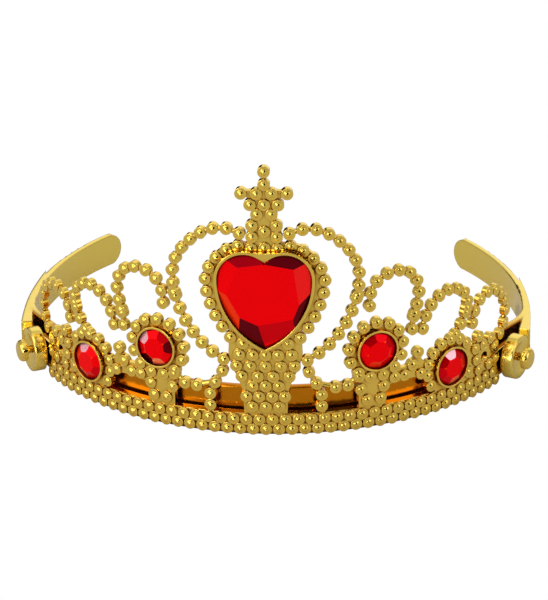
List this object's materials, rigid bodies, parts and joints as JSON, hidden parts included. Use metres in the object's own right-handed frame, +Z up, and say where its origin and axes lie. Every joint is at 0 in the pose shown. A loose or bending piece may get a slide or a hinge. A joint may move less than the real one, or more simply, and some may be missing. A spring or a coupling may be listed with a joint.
{
  "type": "toy tiara",
  "caption": "Openwork beaded toy crown front with faceted red stones and a heart, clipped by side studs to a springy C-shaped headband",
  "frame": {"origin": "On the axis of the front plate's curve, at the height of the base rail's flat underside", "axes": "+Z up, -Y towards the front of the crown (the beaded side), +X towards the right as seen from the front"},
  "size_m": [0.1408, 0.1107, 0.0755],
  "materials": {
    "gold_plating": "moulded plastic, vacuum-metallised in bright gold",
    "red_stone": "polished clear red acrylic",
    "mirror_foil": "bright mirror film behind each stone"
  },
  "bodies": {
    "crown": {"front_plate": "gold_plating", "headband": "gold_plating", "heart_stone": "red_stone", "heart_foil": "mirror_foil", "inner_stone_left": "red_stone", "inner_stone_right": "red_stone", "inner_foil_left": "mirror_foil", "inner_foil_right": "mirror_foil", "outer_stone_left": "red_stone", "outer_stone_right": "red_stone", "outer_foil_left": "mirror_foil", "outer_foil_right": "mirror_foil"}
  },
  "joints": []
}
